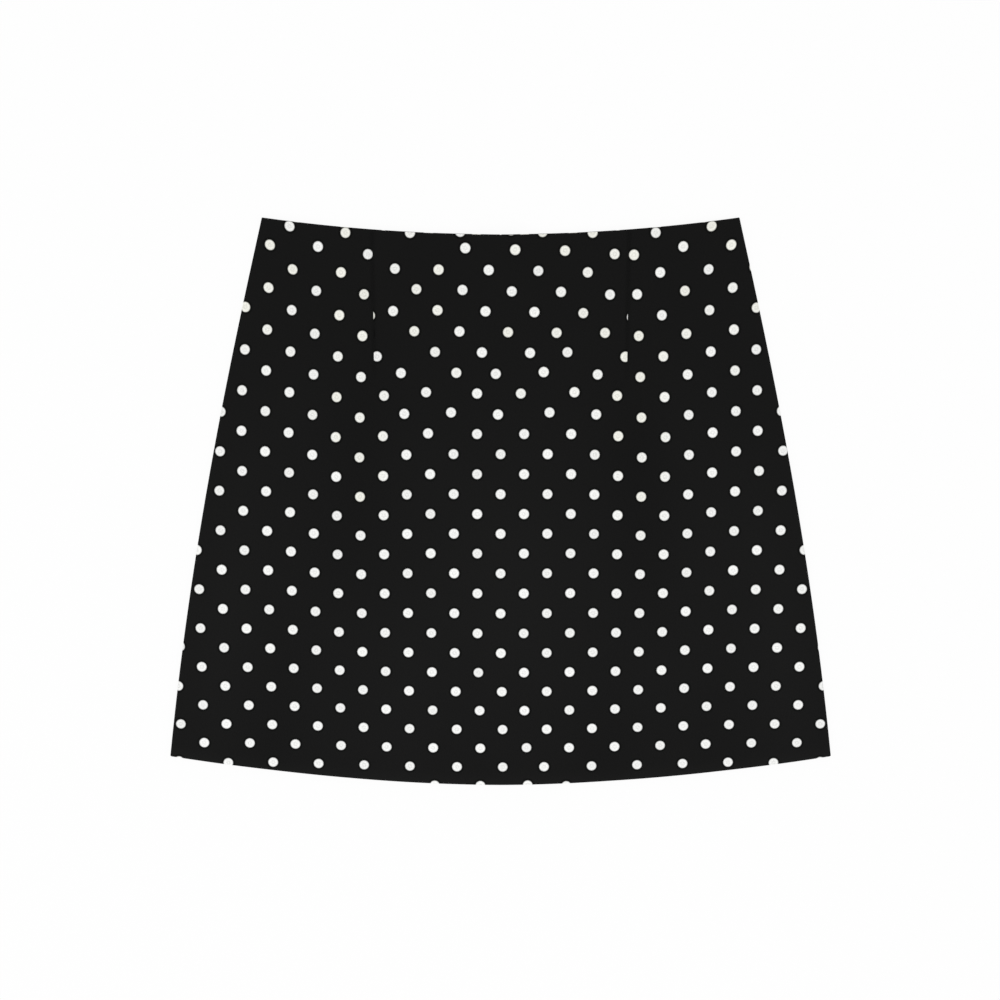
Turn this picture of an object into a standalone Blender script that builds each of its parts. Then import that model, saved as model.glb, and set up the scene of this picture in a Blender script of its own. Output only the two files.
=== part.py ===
"""An A-line mini skirt in woven cotton, laid flat on its back.

The waist points to +Y, the hem to -Y, and the front faces +Z. The origin is on the surface that the
skirt lies on, under the middle of its outline. Front and back lie on each other as one flattened
tube: each side edge is a fold of two walls that meet at the side seam, half way up the fold.
"""

import math

import bmesh
import bpy
from mathutils import Matrix, Vector

MM = 0.001

# The cut, laid flat
WAIST_WIDTH = 359 * MM
HEM_WIDTH = 526.5 * MM
FRONT_LENGTH = 437 * MM  # down the centre front
WAIST_DIP = 12.5 * MM  # how far the middle of the waist edge lies below its corners
HEM_DIP = 24 * MM
WAIST_CURVE, HEM_CURVE = 2.0, 1.77  # the powers of these two curves
HIP_BULGE = 6.8 * MM  # how far each side seam curves out at its fullest
HIP_DROP = 1.08  # above 1, that is below half way

# The cloth and how it lies
WALL = 1.2 * MM
SEAM_GAP = 0.3 * MM
EDGE_HEIGHT = 3.6 * MM  # over both layers at a side fold
FOLD_RADIUS = 1.5 * MM
CROWN = 1.5 * MM  # how much higher the front lies in the middle
CROWN_AT_EDGES = 0.45  # and what is left of that at the waist and the hem

# The front darts
DART_OFFSET = 96.5 * MM  # from the centre front
DART_LENGTH = 123 * MM
DART_INTAKE = 23 * MM  # folded away at the waist
DART_GROOVE = 0.7 * MM
DART_RIDGE = 0.5 * MM  # the folded intake, which lies towards the centre and shows through
GROOVE_HALF = 1.5 * MM
GROOVE_FADE, RIDGE_FADE = 1 / 3, 1 / 2  # the share of the length that each takes to die out
RIDGE_FLAT, RIDGE_REACH = 0.6, 1.5  # shares of the intake's width

# The concealed zip in the centre back seam
ZIP_LENGTH = 190 * MM
TAPE_WIDTH = 12 * MM  # one side
TAPE_THICKNESS = 1.0 * MM
TAPE_TOP = 3 * MM  # below the waist edge
# The tape's rows lie on rows of the back, with more where it closes under the slider
TAPE_ROWS = (8, 12.9, 13.5, 14.1, 14.8, 15.5, 22, 30, 40, 52, 66, 81, 96, 110, 123, 158)
TAPE_PARTED, TAPE_CLOSED = 12.9 * MM, 15.5 * MM  # below the waist edge
TAPE_COLUMNS = (0, 0.2, 0.5, 0.8, 1.0)
SLIDER_SIZE = Vector((5, 9, 2.2)) * MM
SLIDER_BEVEL = 0.5 * MM
NECK_HALF = 0.5 * MM  # the slider's neck, which passes out through the seam
NECK_PARTED, NECK_CLOSED = 13 * MM, 21 * MM  # where the seam opens for it, below the waist edge
PIVOT_DROP = 8 * MM  # from the waist edge down to the pull's pivot
PIVOT_HEIGHT = 1.4 * MM
EYE_HALF_HEIGHT = 0.7 * MM  # the opening that the pull's bar turns in
EYE_UP, EYE_DOWN = 1.4 * MM, 1.6 * MM  # that opening, towards the waist and the hem
BRIDGE_LEG = 0.8 * MM
BRIDGE_BAR = 0.6 * MM
PULL_LENGTH = 22 * MM
PULL_WIDTH = 4 * MM
PULL_END_WIDTH = 5.4 * MM
PULL_THICKNESS = 0.8 * MM
PULL_ARM = 1.0 * MM
PULL_SLOT_END = 4.2 * MM
PULL_DROOP = math.radians(2.4)  # the pull's free end lies on the surface

# How the back rises over the pull, and the front over the slider
PULL_LIFT = 2.6 * MM
LIFT_FLAT, LIFT_REACH = 4 * MM, 22 * MM  # across, from the centre back
LIFT_LONG, LIFT_END = 34 * MM, 70 * MM  # down from the waist edge
ZIP_RISE = 3.9 * MM
RISE_FLAT, RISE_REACH = 3 * MM, 38 * MM

TOTAL_LENGTH = FRONT_LENGTH + WAIST_DIP
WAIST_Y = TOTAL_LENGTH / 2 - WAIST_DIP  # the waist edge on the centre line
PIVOT_Y = WAIST_Y - PIVOT_DROP

# The meshes' rows, in millimetres below the waist edge and then a number of even ones, and columns
CLOSE_ROWS = (0, 4, 8, 12, 16, 22, 30, 40, 52, 66, 81, 96, 110, 123)
EVEN_ROWS = 22
CENTRE_COLUMNS = (0, 9, 18, 28, 40, 54, 68, 80)  # millimetres from the centre front
DART_COLUMNS = (-11 * MM, -7 * MM, -3.5 * MM, -GROOVE_HALF, 0, GROOVE_HALF)  # from the dart's line
OUTER_COLUMNS = (0.12, 0.26, 0.42, 0.58, 0.74, 0.88, 1.0)  # shares of the way to the side
BACK_COLUMNS = (0, 0.02, 0.045, 0.08, 0.13, 0.25, 0.45, 0.65, 0.83, 1.0)
FOLD_STEPS = 4

# Soft troughs (-) and ridges (+) that run down the front: where each lies, as a share of the half
# width, its height, its half width, and the shares of the length between which it shows
FRONT_FOLDS = [
    {"across": -0.50, "height": -0.55 * MM, "spread": 0.13, "start": 0.12, "end": 0.72},
    {"across": 0.47, "height": -0.60 * MM, "spread": 0.12, "start": 0.15, "end": 0.78},
    {"across": 0.02, "height": 0.45 * MM, "spread": 0.22, "start": 0.30, "end": 0.95},
    {"across": -0.78, "height": 0.30 * MM, "spread": 0.10, "start": 0.35, "end": 1.05},
    {"across": 0.74, "height": 0.35 * MM, "spread": 0.11, "start": 0.45, "end": 1.10},
    {"across": -0.30, "height": 0.35 * MM, "spread": 0.12, "start": 0.62, "end": 1.15},
    {"across": 0.33, "height": -0.30 * MM, "spread": 0.09, "start": 0.70, "end": 1.20},
]


def smooth(share):
    """0 to 1 with level ends."""
    share = min(max(share, 0.0), 1.0)
    return share * share * (3 - 2 * share)


def fade(distance, flat, reach):
    """1 out to flat, falling smoothly to 0 at reach."""
    return 1 - smooth((abs(distance) - flat) / (reach - flat))


def half_width(down):
    """Half the flat width at a share of the length, from the waist (0) to the hem (1)."""
    straight = WAIST_WIDTH + (HEM_WIDTH - WAIST_WIDTH) * down
    lowered = down**HIP_DROP
    return straight / 2 + HIP_BULGE * 4 * lowered * (1 - lowered)


def row_y(down, x):
    """Y of a point on the row at that share of the length: each row dips in the middle."""
    dip = WAIST_DIP + (HEM_DIP - WAIST_DIP) * down
    curve = WAIST_CURVE + (HEM_CURVE - WAIST_CURVE) * down
    return WAIST_Y - FRONT_LENGTH * down + dip * (abs(x) / half_width(down)) ** curve


def below_waist(down):
    return FRONT_LENGTH * down


def pull_lift(x, down):
    """How far the back lies off the surface, where the zip's pull lies under it."""
    along = fade(below_waist(down), LIFT_LONG, LIFT_END)
    return PULL_LIFT * fade(x, LIFT_FLAT, LIFT_REACH) * along


def dart_relief(x, down):
    """The groove of each dart's seam, and the ridge of its folded intake beside it."""
    left = 1 - below_waist(down) / DART_LENGTH
    if left <= 0:
        return 0.0
    past = abs(x) - DART_OFFSET
    groove = -DART_GROOVE * max(0.0, 1 - abs(past) / GROOVE_HALF) * smooth(left / GROOVE_FADE)
    ridge = 0.0
    if past <= -GROOVE_HALF:
        reach = GROOVE_HALF + DART_INTAKE / 2 * left
        ridge = DART_RIDGE * fade(past, reach * RIDGE_FLAT, reach * RIDGE_REACH)
        ridge *= smooth(left / RIDGE_FADE)
    return groove + ridge


def front_height(x, down):
    """Height of the front's outer face over the surface."""
    across = x / half_width(down)
    along = CROWN_AT_EDGES + (1 - CROWN_AT_EDGES) * math.sin(math.pi * smooth(down))
    crown = CROWN * (1 - across**4) * along
    rise = ZIP_RISE * fade(x, RISE_FLAT, RISE_REACH)
    rise *= fade(below_waist(down), LIFT_LONG, LIFT_END)
    folds = 0.0
    for fold in FRONT_FOLDS:
        length = fold["end"] - fold["start"]
        along = math.sin(math.pi * min(max((down - fold["start"]) / length, 0), 1))
        beside = math.exp(-(((across - fold["across"]) / fold["spread"]) ** 2))
        folds += fold["height"] * beside * along
    return EDGE_HEIGHT + crown + rise + folds * fade(across, 0.85, 1.0) + dart_relief(x, down)


def rows():
    """Shares of the length from waist to hem: close together at the zip, then even."""
    close = [below * MM / FRONT_LENGTH for below in CLOSE_ROWS]
    start = close[-1]
    return close + [start + (1 - start) * (i + 1) / EVEN_ROWS for i in range(EVEN_ROWS)]


def fold_profile():
    """(out, down) from where a side fold starts to the side seam: a quarter circle, then straight."""
    arc = [math.pi / 2 * (i + 1) / FOLD_STEPS for i in range(FOLD_STEPS)]
    turned = [(FOLD_RADIUS * math.sin(a), FOLD_RADIUS * (1 - math.cos(a))) for a in arc]
    return turned + [(FOLD_RADIUS, (EDGE_HEIGHT - SEAM_GAP) / 2)]


def front_columns():
    """From the centre to a side: distances in metres up to the dart, then shares of what is left,
    then the points of the fold."""
    centre = [("from_centre", x * MM) for x in CENTRE_COLUMNS]
    dart = [("from_centre", DART_OFFSET + past) for past in DART_COLUMNS]
    outer = [("outside_dart", share) for share in OUTER_COLUMNS]
    fold = [("fold", point) for point in fold_profile()]
    return centre + dart + outer + fold


def place(column, down):
    """(x, height above or below the level cloth) of a column on the row at down."""
    kind, value = column
    flat_end = half_width(down) - FOLD_RADIUS
    if kind == "from_centre":
        return value, 0.0
    if kind == "outside_dart":
        start = DART_OFFSET + GROOVE_HALF
        return start + (flat_end - start) * value, 0.0
    return flat_end + value[0], -value[1]


def grid_object(name, across, along, where, finish):
    """A grid of that many points, each moved to where(column, row), as a new object."""
    mesh = bpy.data.meshes.new(name)
    shape = bmesh.new()
    bmesh.ops.create_grid(shape, x_segments=across - 1, y_segments=along - 1, size=1)
    for point in shape.verts:
        column = round((point.co.x + 1) / 2 * (across - 1))
        row = round((1 - point.co.y) / 2 * (along - 1))
        point.co = where(column, row)
    shape.to_mesh(mesh)
    shape.free()
    mesh.shade_smooth()
    return add_object(name, mesh, finish)


def add_object(name, mesh, finish, into="a_line_mini_skirt"):
    made = bpy.data.objects.new(name, mesh)
    collection = bpy.data.collections.get(into)
    if collection is None:
        collection = bpy.data.collections.new(into)
        bpy.context.scene.collection.children.link(collection)
    collection.objects.link(made)
    made.data.materials.append(finish)
    return made


def add_wall(obj, thickness):
    """Thickness on the inner side of an open surface."""
    wall = obj.modifiers.new("wall", "SOLIDIFY")
    wall.thickness = thickness
    wall.offset = -1
    wall.use_even_offset = True


def material(name, colour, roughness, metallic=0.0):
    made = bpy.data.materials.new(name)
    made.use_nodes = True
    shader = made.node_tree.nodes["Principled BSDF"]
    shader.inputs["Base Color"].default_value = (*colour, 1)
    shader.inputs["Roughness"].default_value = roughness
    shader.inputs["Metallic"].default_value = metallic
    return made


def make_front(cloth):
    """One panel with two darts, from side seam to side seam over the top."""
    half = front_columns()
    downs = rows()
    middle = len(half) - 1

    def where(column, row):
        side = 1 if column >= middle else -1
        x, drop = place(half[abs(column - middle)], downs[row])
        x *= side
        y = row_y(downs[row], x)
        return Vector((x, y, front_height(x, downs[row]) + drop))

    front = grid_object("front", 2 * middle + 1, len(downs), where, cloth)
    add_wall(front, WALL)


def seam_half_gap(down):
    """Half the gap between the two backs, wider round the slider's neck."""
    neck = NECK_HALF + SEAM_GAP
    parted = fade(below_waist(down), NECK_PARTED, NECK_CLOSED)
    return SEAM_GAP / 2 + (neck - SEAM_GAP / 2) * parted


def make_back(name, side, cloth):
    """Half of the back, from the centre back seam to a side seam. Its outer face lies down."""
    fold = fold_profile()
    downs = rows()
    across = len(BACK_COLUMNS) + len(fold)

    def where(column, row):
        number = column if side > 0 else across - 1 - column
        down = downs[row]
        flat_end = half_width(down) - FOLD_RADIUS
        start = seam_half_gap(down)
        if number < len(BACK_COLUMNS):
            x, z = start + (flat_end - start) * BACK_COLUMNS[number], 0.0
        else:
            out, z = fold[number - len(BACK_COLUMNS)]
            x = flat_end + out
        return Vector((side * x, row_y(down, x), z + pull_lift(x, down)))

    back = grid_object(name, across, len(downs), where, cloth)
    back.data.flip_normals()
    add_wall(back, WALL)


def make_zip_tape(name, side, tape):
    """One tape of the closed zip, on the inner face of the back, parted round the slider."""
    lengths = [TAPE_TOP] + [below * MM for below in TAPE_ROWS] + [TAPE_TOP + ZIP_LENGTH]
    downs = [below / FRONT_LENGTH for below in lengths]
    last = len(TAPE_COLUMNS) - 1
    clear = SLIDER_SIZE.x / 2 + SEAM_GAP

    def where(column, row):
        share = TAPE_COLUMNS[column if side > 0 else last - column]
        down = downs[row]
        start = SEAM_GAP / 2
        start += (clear - start) * fade(below_waist(down), TAPE_PARTED, TAPE_CLOSED)
        x = start + (TAPE_WIDTH - start) * share
        on_back = pull_lift(x, down) + WALL + SEAM_GAP
        return Vector((side * x, row_y(down, x), on_back + TAPE_THICKNESS))

    made = grid_object(name, last + 1, len(downs), where, tape)
    add_wall(made, TAPE_THICKNESS)


def flat_outline(name, loops, half_thickness, metal):
    """A plate from a 2D outline and the holes in it, standing on the curve's own plane."""
    curve = bpy.data.curves.new(name, "CURVE")
    curve.dimensions = "2D"
    curve.fill_mode = "BOTH"
    curve.extrude = half_thickness
    for loop in loops:
        spline = curve.splines.new("POLY")
        spline.points.add(len(loop) - 1)
        for point, (x, y) in zip(spline.points, loop):
            point.co = (x, y, 0, 1)
        spline.use_cyclic_u = True
    return add_object(name, curve, metal)


def as_mesh(obj):
    """The same object as a closed mesh, so that it can be joined to another."""
    bpy.context.view_layer.update()
    graph = bpy.context.evaluated_depsgraph_get()
    mesh = bpy.data.meshes.new_from_object(obj.evaluated_get(graph))
    shape = bmesh.new()
    shape.from_mesh(mesh)
    bmesh.ops.remove_doubles(shape, verts=shape.verts, dist=0.01 * MM)
    bmesh.ops.recalc_face_normals(shape, faces=shape.faces)
    shape.to_mesh(mesh)
    shape.free()
    made = bpy.data.objects.new(obj.name + "_mesh", mesh)
    made.matrix_world = obj.matrix_world
    for collection in obj.users_collection:
        collection.objects.link(made)
    name = obj.name
    bpy.data.objects.remove(obj)
    made.name = name
    return made


def rectangle(x0, y0, x1, y1):
    return [(x0, y0), (x1, y0), (x1, y1), (x0, y1)]


def make_slider(metal):
    """The slider on the inside, with a bridge that passes out through the seam for the pull."""
    body_bottom = PULL_LIFT + WALL + SEAM_GAP
    down_end = -EYE_DOWN - BRIDGE_LEG
    up_end = EYE_UP + BRIDGE_LEG
    eye_top = EYE_HALF_HEIGHT
    bar_bottom = -EYE_HALF_HEIGHT - BRIDGE_BAR
    into_body = body_bottom + SLIDER_SIZE.z / 2 - PIVOT_HEIGHT
    outer = rectangle(down_end, bar_bottom, up_end, into_body)
    hole = rectangle(-EYE_DOWN, -eye_top, EYE_UP, eye_top)
    bridge = flat_outline("bridge", [outer, hole], NECK_HALF, metal)
    # The outline's own X runs along +Y and its Y up, so it stands in the seam's plane.
    standing = Matrix(((0, 0, 1), (1, 0, 0), (0, 1, 0))).to_4x4()
    bridge.matrix_world = Matrix.Translation((0, PIVOT_Y, PIVOT_HEIGHT)) @ standing
    bridge = as_mesh(bridge)
    bridge.hide_render = True
    bridge.display_type = "WIRE"

    bpy.ops.mesh.primitive_cube_add(size=1)
    body = bpy.context.active_object
    body.name = "zip_slider"
    body.data.transform(Matrix.Diagonal(SLIDER_SIZE).to_4x4())
    body.location = (0, PIVOT_Y, body_bottom + SLIDER_SIZE.z / 2)
    body.data.materials.append(metal)
    for collection in list(body.users_collection):
        collection.objects.unlink(body)
    bpy.data.collections["a_line_mini_skirt"].objects.link(body)
    edge = body.modifiers.new("edge", "BEVEL")
    edge.width = SLIDER_BEVEL
    edge.segments = 2
    join = body.modifiers.new("bridge", "BOOLEAN")
    join.operation = "UNION"
    join.object = bridge


def make_pull(metal):
    """The pull tab: a plate with a slot, whose top bar turns in the slider's bridge."""
    half_bar = PULL_THICKNESS / 2
    half, end_half = PULL_WIDTH / 2, PULL_END_WIDTH / 2
    centre = half_bar - PULL_LENGTH + end_half
    round_end = []
    steps = 10
    for i in range(steps + 1):
        angle = math.pi * i / steps
        round_end.append((-end_half * math.cos(angle), centre - end_half * math.sin(angle)))
    plate = [(half, half_bar), (-half, half_bar), (-half, -PULL_SLOT_END)] + round_end
    plate.append((half, -PULL_SLOT_END))
    slot_half = half - PULL_ARM
    slot = rectangle(-slot_half, -PULL_SLOT_END, slot_half, -half_bar)
    pull = as_mesh(flat_outline("zip_pull", [plate, slot], half_bar, metal))
    pull.matrix_world = Matrix.Translation((0, PIVOT_Y, PIVOT_HEIGHT)) @ Matrix.Rotation(
        PULL_DROOP, 4, "X"
    )


def main():
    for obj in list(bpy.data.objects):
        bpy.data.objects.remove(obj)
    cloth_front = material("front_cloth", (0.0105, 0.0105, 0.0105), 0.85)
    cloth_left = material("back_left_cloth", (0.0105, 0.0105, 0.0105), 0.85)
    cloth_right = material("back_right_cloth", (0.0105, 0.0105, 0.0105), 0.85)
    make_front(cloth_front)
    make_back("back_left", 1, cloth_left)
    make_back("back_right", -1, cloth_right)
    tape_left = material("tape_left_weave", (0.012, 0.012, 0.012), 0.7)
    tape_right = material("tape_right_weave", (0.012, 0.012, 0.012), 0.7)
    make_zip_tape("zip_tape_left", 1, tape_left)
    make_zip_tape("zip_tape_right", -1, tape_right)
    make_slider(material("slider_enamel", (0.015, 0.015, 0.015), 0.35, 0.4))
    make_pull(material("pull_enamel", (0.015, 0.015, 0.015), 0.3, 0.4))


main()
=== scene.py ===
from math import asin, cos, exp, pi, radians, sin, tan

import bmesh
import bpy
from mathutils import Matrix, Vector, kdtree


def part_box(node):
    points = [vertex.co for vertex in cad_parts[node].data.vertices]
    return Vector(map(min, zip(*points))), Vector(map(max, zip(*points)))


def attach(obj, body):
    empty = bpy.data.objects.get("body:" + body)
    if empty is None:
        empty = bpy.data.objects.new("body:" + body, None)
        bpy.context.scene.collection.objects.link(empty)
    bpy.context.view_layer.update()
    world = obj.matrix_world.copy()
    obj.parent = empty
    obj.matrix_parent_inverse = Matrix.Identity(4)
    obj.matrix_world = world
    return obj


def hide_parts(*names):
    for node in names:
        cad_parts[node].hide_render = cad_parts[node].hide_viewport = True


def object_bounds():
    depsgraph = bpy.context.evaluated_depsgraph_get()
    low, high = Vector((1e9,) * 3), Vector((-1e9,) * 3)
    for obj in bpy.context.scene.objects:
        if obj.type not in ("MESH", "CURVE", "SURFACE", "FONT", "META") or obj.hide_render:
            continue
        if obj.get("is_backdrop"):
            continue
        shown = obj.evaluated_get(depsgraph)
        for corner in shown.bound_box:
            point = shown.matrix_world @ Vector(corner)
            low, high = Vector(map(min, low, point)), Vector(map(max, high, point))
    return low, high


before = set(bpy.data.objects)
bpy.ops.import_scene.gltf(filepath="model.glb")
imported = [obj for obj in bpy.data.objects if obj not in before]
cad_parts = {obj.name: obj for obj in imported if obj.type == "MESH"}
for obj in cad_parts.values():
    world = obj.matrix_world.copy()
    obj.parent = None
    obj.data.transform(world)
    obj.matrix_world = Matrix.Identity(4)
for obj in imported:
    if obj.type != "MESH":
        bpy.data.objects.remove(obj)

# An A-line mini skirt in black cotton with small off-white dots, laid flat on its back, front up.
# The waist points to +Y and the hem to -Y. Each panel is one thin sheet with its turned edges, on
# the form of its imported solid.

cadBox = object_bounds()
mm = 0.001
frontLow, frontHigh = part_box("front")
print("frame loaded:", ", ".join(sorted(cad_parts)))

# Sizes that all panels share
skirt = {
    "waistWidth": 359 * mm,
    "hemWidth": frontHigh.x - frontLow.x,
    "waistDip": 12.5 * mm,  # how far the middle of the waist edge lies below its corners
    "hemDip": 24 * mm,
    "waistCurve": 2.0,  # the powers of these two curves
    "hemCurve": 1.77,
    "hipBulge": 6.8 * mm,
    "hipDrop": 1.08,  # above 1, the sides are fullest below half way
    "edgeHeight": 3.6 * mm,  # over both layers at a side fold
    "foldRadius": 1.5 * mm,
    "crown": 1.5 * mm,  # how much higher the front lies in the middle
    "crownAtEdges": 0.45,  # and what is left of that at the waist and the hem
    "plyThickness": 0.45 * mm,
    "turnRadius": 0.6 * mm,  # of the fold along the hem and the waist edge
    "turnSteps": 6,
    "waistTurning": 10 * mm,
    "hemTurning": 30 * mm,
    "waistTurningRows": 3,
    "hemTurningRows": 8,
}
skirt["frontLength"] = frontHigh.y - frontLow.y - skirt["waistDip"]
skirt["waistY"] = frontHigh.y - skirt["waistDip"]

dart = {
    "offset": 96.5 * mm,  # from the centre front
    "length": 123 * mm,
    "intake": 23 * mm,
    "groove": 0.45 * mm,
    "grooveReach": 2.2 * mm,
    "grooveFade": 1 / 3,  # the share of the length that it takes to die out
    "ridge": 0.4 * mm,  # the folded intake, which shows through
    "ridgeFade": 1 / 2,
    "ridgeSpan": (0.6, 1.5),  # shares of its width where it starts to fall and ends
}

# The back's darts are guessed: one in each half, shorter than the front's
backDart = {
    "offset": 88 * mm,
    "length": 110 * mm,
    "intake": 9 * mm,
    "groove": 0.4 * mm,
    "grooveReach": 1.6 * mm,
    "grooveFade": 1 / 3,
}
backDart["tipY"] = skirt["waistY"] - backDart["length"]

# How the back lies over the zip's pull, and the front over its slider
zipBump = {
    "lift": 2.6 * mm,
    "liftAcross": (4 * mm, 22 * mm),
    "rise": 3.9 * mm,
    "riseAcross": (3 * mm, 38 * mm),
    "down": (34 * mm, 70 * mm),  # from the waist edge
}

# Soft troughs (-) and ridges (+): across is a share of the half width, start and end of the length
foldColumns = ("across", "height", "spread", "start", "end")
foldRows = (
    (-0.50, -0.55 * mm, 0.13, 0.12, 0.72),
    (0.47, -0.60 * mm, 0.12, 0.15, 0.78),
    (0.02, 0.45 * mm, 0.22, 0.30, 0.95),
    (-0.90, 0.42 * mm, 0.10, 0.35, 1.05),
    (0.91, 0.45 * mm, 0.10, 0.45, 1.15),
    (-0.69, -0.32 * mm, 0.09, 0.62, 1.15),
    (0.68, -0.22 * mm, 0.09, 0.66, 1.12),
    (-0.30, 0.35 * mm, 0.12, 0.62, 1.15),
    (0.33, -0.30 * mm, 0.09, 0.70, 1.20),
)
frontFolds = [dict(zip(foldColumns, row)) for row in foldRows]
foldsEnd = (0.85, 1.0)  # they die out between these shares of the half width


def smooth(share):
    share = min(max(share, 0.0), 1.0)
    return share * share * (3 - 2 * share)


# from 0 at the span's first value to 1 at its second
def rising(value, span):
    return smooth((value - span[0]) / (span[1] - span[0]))


# from 1 within the first distance to 0 beyond the second
def fade(distance, flat, reach):
    return 1 - smooth((abs(distance) - flat) / (reach - flat))


def bump(distance, spread):
    return exp(-((distance / spread) ** 2))


# down is a share of the length, 0 at the waist and 1 at the hem; below is in metres
def halfWidth(down):
    straight = skirt["waistWidth"] + (skirt["hemWidth"] - skirt["waistWidth"]) * down
    lowered = max(down, 0.0) ** skirt["hipDrop"]
    return straight / 2 + skirt["hipBulge"] * 4 * lowered * (1 - lowered)


def belowWaist(down):
    return skirt["frontLength"] * down


def rowY(down, x):
    dip = skirt["waistDip"] + (skirt["hemDip"] - skirt["waistDip"]) * down
    curve = skirt["waistCurve"] + (skirt["hemCurve"] - skirt["waistCurve"]) * down
    return skirt["waistY"] - belowWaist(down) + dip * (abs(x) / halfWidth(down)) ** curve


def atBelow(x, below):
    return rowY(below / skirt["frontLength"], x)


dart["tipY"] = atBelow(dart["offset"], dart["length"])


def pullLift(x, down):
    return zipBump["lift"] * fade(x, *zipBump["liftAcross"]) * fade(belowWaist(down), *zipBump["down"])


# depth of a dart's groove that far from its line, where that share of its length is left
def dartGroove(form, past, left):
    return form["groove"] * smooth(1 - abs(past) / form["grooveReach"]) * smooth(left / form["grooveFade"])


def dartRelief(x, down):
    left = 1 - belowWaist(down) / dart["length"]
    if left <= 0:
        return 0.0
    past = abs(x) - dart["offset"]
    ridge = 0.0
    if past < 0:
        width = dart["grooveReach"] + dart["intake"] / 2 * left
        ridge = dart["ridge"] * fade(past / width, *dart["ridgeSpan"])
        ridge *= smooth(left / dart["ridgeFade"]) * smooth(-past / dart["grooveReach"])
    return ridge - dartGroove(dart, past, left)


def foldRelief(across, down):
    height = 0.0
    for fold in frontFolds:
        along = (down - fold["start"]) / (fold["end"] - fold["start"])
        along = sin(pi * min(max(along, 0), 1))
        height += fold["height"] * bump(across - fold["across"], fold["spread"]) * along
    return height * fade(across, *foldsEnd)


def frontHeight(x, down):
    across = x / halfWidth(down)
    along = skirt["crownAtEdges"] + (1 - skirt["crownAtEdges"]) * sin(pi * smooth(down))
    crown = skirt["crown"] * (1 - across**4) * along
    rise = zipBump["rise"] * fade(x, *zipBump["riseAcross"]) * fade(belowWaist(down), *zipBump["down"])
    return skirt["edgeHeight"] + crown + rise + foldRelief(across, down) + dartRelief(x, down)


# Where the print lies on the cloth. Each span is of Y, from where a change starts to where it is full
printLay = {
    "acrossPitch": 36.24 * mm,  # from dot to dot in a row
    "downPitch": 31.4 * mm,  # from a row to the next but one
    "rowStart": -52.4 * mm,  # a row of dots crosses the centre front here
    "bowAt": 155 * mm,
    "bow": 4.2 * mm,  # how far the rows rise at bowAt
    "bowEase": 0.95 * mm,
    # rise, distance from the centre front, spread, and span
    "swells": (
        (-4.3 * mm, 117 * mm, 37 * mm, (-190 * mm, 98 * mm)),  # the rows sag below and outside each dart
        (2.6 * mm, 0.0, 175 * mm, (-143 * mm, -23 * mm)),
        (4 * mm, 145 * mm, 28 * mm, (140 * mm, 215 * mm)),  # between a dart and the side
    ),
    "inward": 7.3 * mm,  # the outer cloth is drawn in as the darts close
    "inwardSpan": (50.5 * mm, 200 * mm),
    "inwardPower": 1.2,
    "lean": 10.5 * mm,  # between the darts, the cloth leans to +X towards the waist
    "leanTo": 200 * mm,
    "leanPower": 0.75,
    "leanFrees": 0.5,  # by this share of the lean, it isn't drawn in any more
    "leanSpread": 0.0365,
    "leanTurn": -0.027,
    "crowd": 4.5 * mm,  # more so beside the dart at -X
    "crowdAcross": (33 * mm, 92 * mm),
    "crowdBy": 1 / 3,  # share of the lean where it is full
    "hemShift": 2 * mm,  # the middle of the hem lies a little to +X
    "hemShiftAt": -14 * mm,
    "hemShiftSpread": 40 * mm,
    "hemShiftSpan": (-94 * mm, -194 * mm),
    "rows": (-18, 11),  # the first and the last, counted down from the one at rowStart
    "columns": (-16, 16),  # half steps from the centre front
    "dotReach": 7 * mm,  # cloth farther than this from a dot's centre is bare
    "tries": 12,  # steps that find where a dot of the straight print lies
}

# How the pull of the cloth draws the dots out of round
dotPull = {
    "taller": 0.025,  # everywhere but near the hem
    "tallerSpan": (-190 * mm, -100 * mm),
    "narrower": 0.04,  # towards the sides of the upper half
    "narrowerAcross": (40 * mm, 110 * mm),
    "narrowerSpan": (-20 * mm, 100 * mm),
    "slant": 0.12,  # at the top corners
    "slantAcross": (130 * mm, 165 * mm),
    "slantSpan": (130 * mm, 200 * mm),
}

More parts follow.
